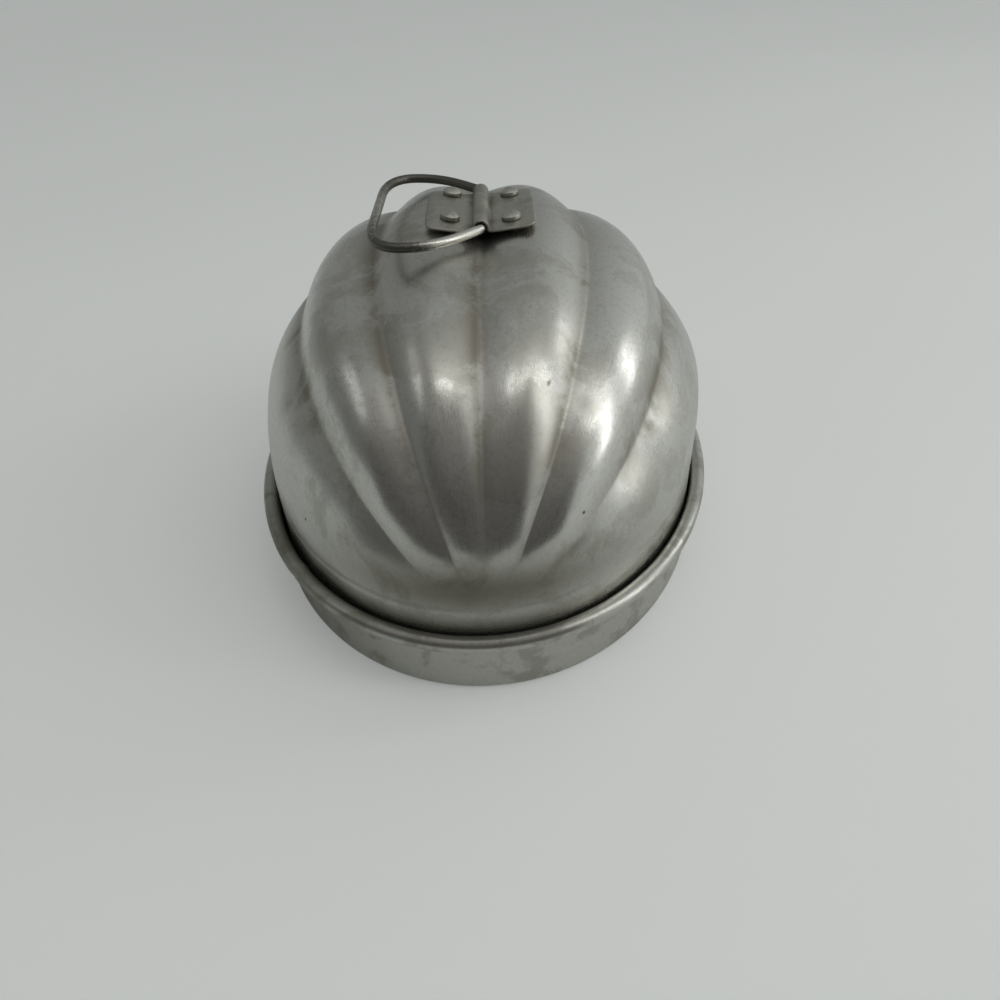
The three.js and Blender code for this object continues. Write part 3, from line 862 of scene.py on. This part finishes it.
def make_rivet(name, lean, flat):
    """A lathed rivet on the CAD rivet's own axis: tail, shank and a low domed head that was closed with a
    hammer, so it is a little out of round and its crown leans. The lean is the way it leans, in radians, and
    the flat is how far it is pressed down in its middle, in millimetres."""
    low, high = node_box(name)
    side = 1 if (low[0] + high[0]) / 2 > PIN[0] else -1
    out = SADDLE_HALF_WIDTH - RIVET_SIDE_MARGIN
    run = SADDLE_HALF_WIDTH - BARREL_INNER
    slope = math.atan((WING_RISE + WING_CURVE - 2 * WING_CURVE * (out - BARREL_INNER) / run) / run)
    lean_x, lean_z = tilted(-side * math.sin(slope), math.cos(slope))
    axis = np.array([lean_x, 0, lean_z])
    across = np.array([lean_z, 0, -lean_x])
    stand = SADDLE_SHEET + RIVET_HEAD_GAP
    lift = saddle_middle(out) - SADDLE_SHEET / 2
    seat_x, seat_z = tilted(side * (out - stand * math.sin(slope)), lift + stand * math.cos(slope))
    seat = np.array([PIN[0] + seat_x, (low[1] + high[1]) / 2, PIN[2] + seat_z])
    grip = (seat[2] - low[2] - RIVET_TAIL_RADIUS * abs(lean_x)) / lean_z - RIVET_TAIL_HEIGHT
    crown = RIVET_HEAD_CROWN
    dome = (RIVET_HEAD_RADIUS ** 2 + crown ** 2) / (2 * crown)
    edge = math.degrees(math.acos(RIVET_HEAD_RADIUS / dome))
    bevel = RIVET_HEAD_BEVEL
    under = -RIVET_HEAD_OVERHANG
    head = RIVET_HEAD_RADIUS
    profile = np.concatenate([
        line((0, -grip - RIVET_TAIL_HEIGHT), (RIVET_TAIL_RADIUS, -grip - RIVET_TAIL_HEIGHT), 4, True),
        line((RIVET_TAIL_RADIUS, -grip), (RIVET_SHANK_RADIUS, -grip), 2, True),
        line((RIVET_SHANK_RADIUS, -grip), (RIVET_SHANK_RADIUS, 0), 2)[:1],
        line((RIVET_SHANK_RADIUS, -SADDLE_SHEET), (head - bevel, under), 2, True),
        arc(head - bevel, bevel + under, bevel, -90, 0, 4),
        arc(0, RIVET_HEAD_EDGE + crown - dome, dome, edge, 90, 12),
    ])
    profile[-1, 0] = 0
    turn = np.linspace(0, 2 * np.pi, 48, endpoint=False)[None, :]
    radius = profile[:, :1]
    height = profile[:, 1:]
    on_head = (height > 0) & (radius > 0)
    oval = RIVET_OVAL_SHARE * (1 + np.sin(2 * turn + lean)) * on_head
    lobes = RIVET_LOBE_SHARE * (1 + np.sin(3 * turn + 2 * lean)) * on_head
    radius = radius * (1 - oval - lobes)
    tilt = -flat * (height > RIVET_HEAD_EDGE * 0.9) * (1 + radius / head * np.cos(turn - lean))
    height = height + tilt
    local = np.stack(np.broadcast_arrays(radius * np.cos(turn), radius * np.sin(turn), height), -1)
    points = seat + local[..., :1] * across + local[..., 1:2] * np.array([0, 1, 0]) + local[..., 2:] * axis
    rows, columns = points.shape[:2]
    grain = np.stack([points[..., 0], points[..., 1]], -1).reshape(-1, 2) * MM
    creased = RIVET_DIRT * np.clip(1 - local[..., 2] / RIVET_HEAD_EDGE, 0, 1) * (local[..., 2] > -1)
    return add_piece(
        name + "_head", points.reshape(-1, 3), grid_quads(rows, columns, closed_columns=True),
        "mould", [name], rivet_metal, grain, {"crease": creased.reshape(-1)},
    )


make_rivet("rivet_front_left", 0.7, 0.05)
make_rivet("rivet_front_right", 2.9, 0.12)
make_rivet("rivet_rear_left", 4.4, 0.08)
make_rivet("rivet_rear_right", 1.8, 0.1)


# Bail
WIRE_SIDES = 28
WIRE_END_ROUND_SHARE = 0.3
WEAR_RUN = 25
WEAR_LENGTH = 9
BAR_WEAR = 0.35
BAR_WEAR_LENGTH = 20


def bezier(points, steps):
    """Points along a Bezier curve of any degree, worked out by repeated blending of its corners."""
    share = np.linspace(0, 1, steps + 1)[:, None]
    level = [np.array(point, float) + 0 * share for point in points]
    while len(level) > 1:
        level = [a + share * (b - a) for a, b in zip(level, level[1:])]
    return level[0]


def bail_half():
    """Reach and width of half the wire's centre line: straight in the barrel, a short bend, a leg that swings
    outwards, a round corner and half of the outer bar."""
    pin_half = SADDLE_HALF_LENGTH + MOUTH_CLEARANCE
    bend = np.array([BAIL_BEND_RUN, pin_half + BAIL_BEND_RISE])
    half_width = bend[1] + BAIL_FLARE
    shoulder = np.array([BAIL_REACH - BAIL_CORNER_RUN, half_width])
    bar = np.array([BAIL_REACH, half_width - BAIL_CORNER_DROP])
    leg = math.hypot(*(shoulder - bend))
    pull = LEG_PULL_SHARE * leg / math.sqrt(2)
    parts = [
        bezier([(0, WIRE_END_GAP / 2), (0, pin_half)], 24),
        bezier([(0, pin_half), (0, bend[1] - bend[0]), bend], 10),
        bezier([bend, bend + pull, shoulder - (SHOULDER_PULL_SHARE * leg, 0), shoulder], 46),
        bezier([
            shoulder,
            shoulder + (CORNER_PULL_SHARE * BAIL_CORNER_RUN, 0),
            bar + (0, BAR_PULL_SHARE * BAIL_CORNER_DROP),
            bar,
        ], 40),
        bezier([bar, (BAIL_REACH, 0)], 16),
    ]
    return np.concatenate([parts[0]] + [part[1:] for part in parts[1:]])


def make_bail():
    """A circle goes along the centre line, square to it, with round ends. The loop lies turned about the pin
    by its rest angle, and is rubbed bright on the front leg near the barrel and a little on the outer bar."""
    half = bail_half()
    path = np.concatenate([half * (-1, -1), half[-2::-1] * (-1, 1)])
    tangent = unit(np.gradient(path, axis=0))
    ends = np.sqrt(1 - np.linspace(1, 0, 5)[:-1] ** 2)
    end_round = WIRE_RADIUS * WIRE_END_ROUND_SHARE
    start = path[0] + tangent[0] * (end_round * (1 - ends[:, None]))
    finish = path[-1] - tangent[-1] * (end_round * (1 - ends[::-1, None]))
    centre = np.concatenate([start[:1], start, path[3:-3], finish, finish[-1:]])
    thick = np.concatenate([[0], ends, np.ones(len(path) - 6), ends[::-1], [0]])
    tangent = np.concatenate([np.repeat(tangent[:1], 5, 0), tangent[3:-3], np.repeat(tangent[-1:], 5, 0)])
    turn = np.linspace(0, 2 * np.pi, WIRE_SIDES, endpoint=False)
    side = np.stack([tangent[:, 1], -tangent[:, 0]], -1)
    radius = (WIRE_RADIUS * thick)[:, None]
    flat_x = centre[:, :1] + radius * np.cos(turn) * side[:, :1]
    flat_y = centre[:, 1:] + radius * np.cos(turn) * side[:, 1:]
    flat_z = radius * np.sin(turn)
    rest = math.radians(BAIL_REST_DEGREES)
    x = flat_x * math.cos(rest) + flat_z * math.sin(rest)
    z = -flat_x * math.sin(rest) + flat_z * math.cos(rest)
    points = np.stack([x, flat_y, z], -1) + PIN
    rows, columns = points.shape[:2]
    run = np.linalg.norm(np.diff(centre, axis=0, prepend=centre[:1]), axis=-1).cumsum()
    grain = np.stack(np.broadcast_arrays(WIRE_RADIUS * turn, run[:, None]), -1).reshape(-1, 2) * MM
    near_barrel = np.exp(-(((run - WEAR_RUN) / WEAR_LENGTH) ** 2))
    bar = BAR_WEAR * np.exp(-(((run - run[-1] / 2) / BAR_WEAR_LENGTH) ** 2))
    wear = (near_barrel + bar)[:, None] * (0.75 + 0.25 * np.sin(turn)[None, :])
    return add_piece(
        "wire_bail", points.reshape(-1, 3), grid_quads(rows, columns, closed_columns=True),
        "bail", ["bail"], wire_metal, grain, {"wear": wear.reshape(-1)}, crease=80,
    )


make_bail()


# Floor
FLOOR_HALF = 3.0
FLOOR_CLOUD_SIZE = 240
FLOOR_CAMERA_GLOW = 0.17
FLOOR_GLOSSY_GLOW = 0.06


def make_floor():
    """A plain pale board, which the mould stands on. The viewer and the metal's gloss see it a little
    brighter than the lamps make it."""
    material, tree, output = new_material("matt_pale_board")
    place = add(tree, "ShaderNodeTexCoord").outputs["Object"]
    cloud = add(tree, "ShaderNodeTexNoise", {"Vector": place, "Scale": per_mm(FLOOR_CLOUD_SIZE), "Detail": 2})
    colour = add(
        tree, "ShaderNodeMix",
        {0: cloud.outputs["Fac"], 6: srgb("#E2E4E2"), 7: srgb("#E8EAE8")}, data_type="RGBA",
    ).outputs[2]
    rays = add(tree, "ShaderNodeLightPath").outputs
    seen = add(
        tree, "ShaderNodeMath",
        {0: rays["Is Camera Ray"], 1: FLOOR_CAMERA_GLOW}, operation="MULTIPLY",
    ).outputs[0]
    glow = add(
        tree, "ShaderNodeMath",
        {0: rays["Is Glossy Ray"], 1: FLOOR_GLOSSY_GLOW, 2: seen}, operation="MULTIPLY_ADD",
    ).outputs[0]
    shader = add(
        tree, "ShaderNodeBsdfPrincipled",
        {
            "Base Color": colour,
            "Roughness": 0.7,
            "Emission Color": srgb("#F4F8F6"),
            "Emission Strength": glow,
        },
    )
    tree.links.new(shader.outputs[0], output.inputs["Surface"])
    mesh = bpy.data.meshes.new("floor")
    corners = [(-FLOOR_HALF, -FLOOR_HALF, 0), (FLOOR_HALF, -FLOOR_HALF, 0), (FLOOR_HALF, FLOOR_HALF, 0)]
    mesh.from_pydata(corners + [(-FLOOR_HALF, FLOOR_HALF, 0)], [], [(0, 1, 2, 3)])
    mesh.materials.append(material)
    floor = bpy.data.objects.new("floor", mesh)
    bpy.context.scene.collection.objects.link(floor)


make_floor()


# Light, in metres
CARD_RADIUS = 0.27
CARD_DEGREES = (-122, 142)
CARD_TOP_DEGREES = 64
CARD_GREY = 0.09
CARD_TOP_GREY = 0.2
CARD_PALER_FROM_SHARE = 0.4
CARD_GRID = (49, 17)

# Lamps overhead, in rows that go towards the viewer: a row's place along Y, and its radiances from the left
STRIP_HEIGHT = 0.8
STRIP_SIZE = (0.4, 0.06)
STRIP_TINT = (1, 0.98, 0.95)
STRIP_COLUMNS = (-0.4, 0.0, 0.4, 0.8)
STRIP_ROWS = [
    (-0.1, (0.2, 0.4, 1.0, 1.5)),
    (-0.22, (0.6, 2.4, 2.6, 1.8)),
    (-0.34, (0.9, 0.7, 1.5, 4.2)),
]

# Lamps at the sides, which face the mould: a name, a place, a size and a radiance
SIDE_LAMPS = [
    ("window_rear", (1.16, 0.29, 0.5), (0.2, 0.74), 1.7),
    ("window_front", (1.16, -0.29, 0.5), (0.2, 0.74), 2.1),
    ("window_veil", (1.3, 0.0, 0.55), (1.2, 0.8), 0.13),
    ("window_left", (-1.0, -0.05, 0.9), (0.5, 0.35), 0.5),
]
SIDE_LAMP_TARGET = (0, 0, 0.06)


def make_card():
    """A dark curved card on the viewer's side, which only the metal's gloss sees. It stands on the floor and
    leans over towards the mould, as a part of a sphere."""
    material, tree, output = new_material("black_studio_card")
    place = add(tree, "ShaderNodeTexCoord").outputs["Object"]
    height = add(tree, "ShaderNodeSeparateXYZ", {0: place}).outputs["Z"]
    card_top = CARD_RADIUS * math.sin(math.radians(CARD_TOP_DEGREES))
    grey = add(
        tree, "ShaderNodeMapRange",
        {
            "Value": height,
            "From Min": CARD_PALER_FROM_SHARE * card_top,
            "From Max": card_top,
            "To Min": CARD_GREY,
            "To Max": CARD_TOP_GREY,
        },
        interpolation_type="SMOOTHSTEP",
    ).outputs[0]
    glow = add(tree, "ShaderNodeEmission", {"Color": (1, 0.97, 0.93, 1), "Strength": grey})
    tree.links.new(glow.outputs[0], output.inputs["Surface"])
    start = math.radians(CARD_DEGREES[1])
    end = math.radians(360 + CARD_DEGREES[0])
    turn = np.linspace(start, end, CARD_GRID[0])[:, None]
    rise = np.radians(np.linspace(0, CARD_TOP_DEGREES, CARD_GRID[1]))[None, :]
    x = CARD_RADIUS * np.sin(turn) * np.cos(rise)
    y = CARD_RADIUS * np.cos(turn) * np.cos(rise)
    z = CARD_RADIUS * np.sin(rise) + 0 * turn
    mesh = bpy.data.meshes.new("card")
    points = np.stack([x, y, z], -1).reshape(-1, 3)
    mesh.from_pydata(points.tolist(), [], grid_quads(*CARD_GRID).tolist())
    mesh.materials.append(material)
    card = bpy.data.objects.new("card", mesh)
    card.visible_camera = False
    card.visible_diffuse = False
    card.visible_shadow = False
    card.visible_transmission = False
    bpy.context.scene.collection.objects.link(card)


def add_softbox(name, place, target, size, radiance, tint=(1, 1, 1)):
    """A rectangular lamp of a given radiance that faces a target, both in metres. Its power is the radiance
    times pi and its area."""
    data = bpy.data.lights.new(name, "AREA")
    data.shape = "RECTANGLE"
    data.size, data.size_y = size
    data.energy = radiance * math.pi * size[0] * size[1]
    data.color = tint
    lamp = bpy.data.objects.new(name, data)
    aim = Vector(target) - Vector(place)
    lamp.matrix_world = Matrix.Translation(place) @ aim.to_track_quat("-Z", "Y").to_matrix().to_4x4()
    lamp.visible_camera = False
    bpy.context.scene.collection.objects.link(lamp)


# The room's brightness, and what each side adds: an axis, where along it that starts and is full, and
# how much
ROOM_LEVEL = 0.125
ROOM_SIDES = [
    ("Z", 0.2, 1.0, 0.09),
    ("Z", 0.8, 1.0, 0.145),
    ("X", 0.0, 1.0, 0.43),
    ("X", 0.0, -1.0, 0.04),
    ("Y", 0.0, 1.0, 0.12),
]


def make_world():
    """A dim plain room that is paler overhead, at the back and most of all on the right, towards +X. Its
    brightness is the room's level with a smooth share of each side's amount added."""
    world = bpy.data.worlds.new("room")
    bpy.context.scene.world = world
    world.use_nodes = True
    tree = world.node_tree
    tree.nodes.clear()
    toward = add(tree, "ShaderNodeTexCoord").outputs["Generated"]
    parts = add(tree, "ShaderNodeSeparateXYZ", {0: toward}).outputs
    level = ROOM_LEVEL
    for axis, start, full, amount in ROOM_SIDES:
        side = add(
            tree, "ShaderNodeMapRange",
            {"Value": parts[axis], "From Min": start, "From Max": full, "To Min": 0, "To Max": amount},
            interpolation_type="SMOOTHSTEP",
        ).outputs[0]
        level = add(tree, "ShaderNodeMath", {0: side, 1: level}).outputs[0]
    background = add(tree, "ShaderNodeBackground", {"Color": (0.97, 1, 0.98, 1), "Strength": level})
    output = add(tree, "ShaderNodeOutputWorld")
    tree.links.new(background.outputs[0], output.inputs["Surface"])


make_card()
make_world()
for row, (y, radiances) in enumerate(STRIP_ROWS):
    for column, (x, radiance) in enumerate(zip(STRIP_COLUMNS, radiances)):
        place = (x, y, STRIP_HEIGHT)
        add_softbox(f"strip_{row}_{column}", place, (x, y, 0), STRIP_SIZE, radiance, STRIP_TINT)
for name, place, size, radiance in SIDE_LAMPS:
    add_softbox(name, place, SIDE_LAMP_TARGET, size, radiance)

bpy.context.scene.view_settings.view_transform = "Standard"
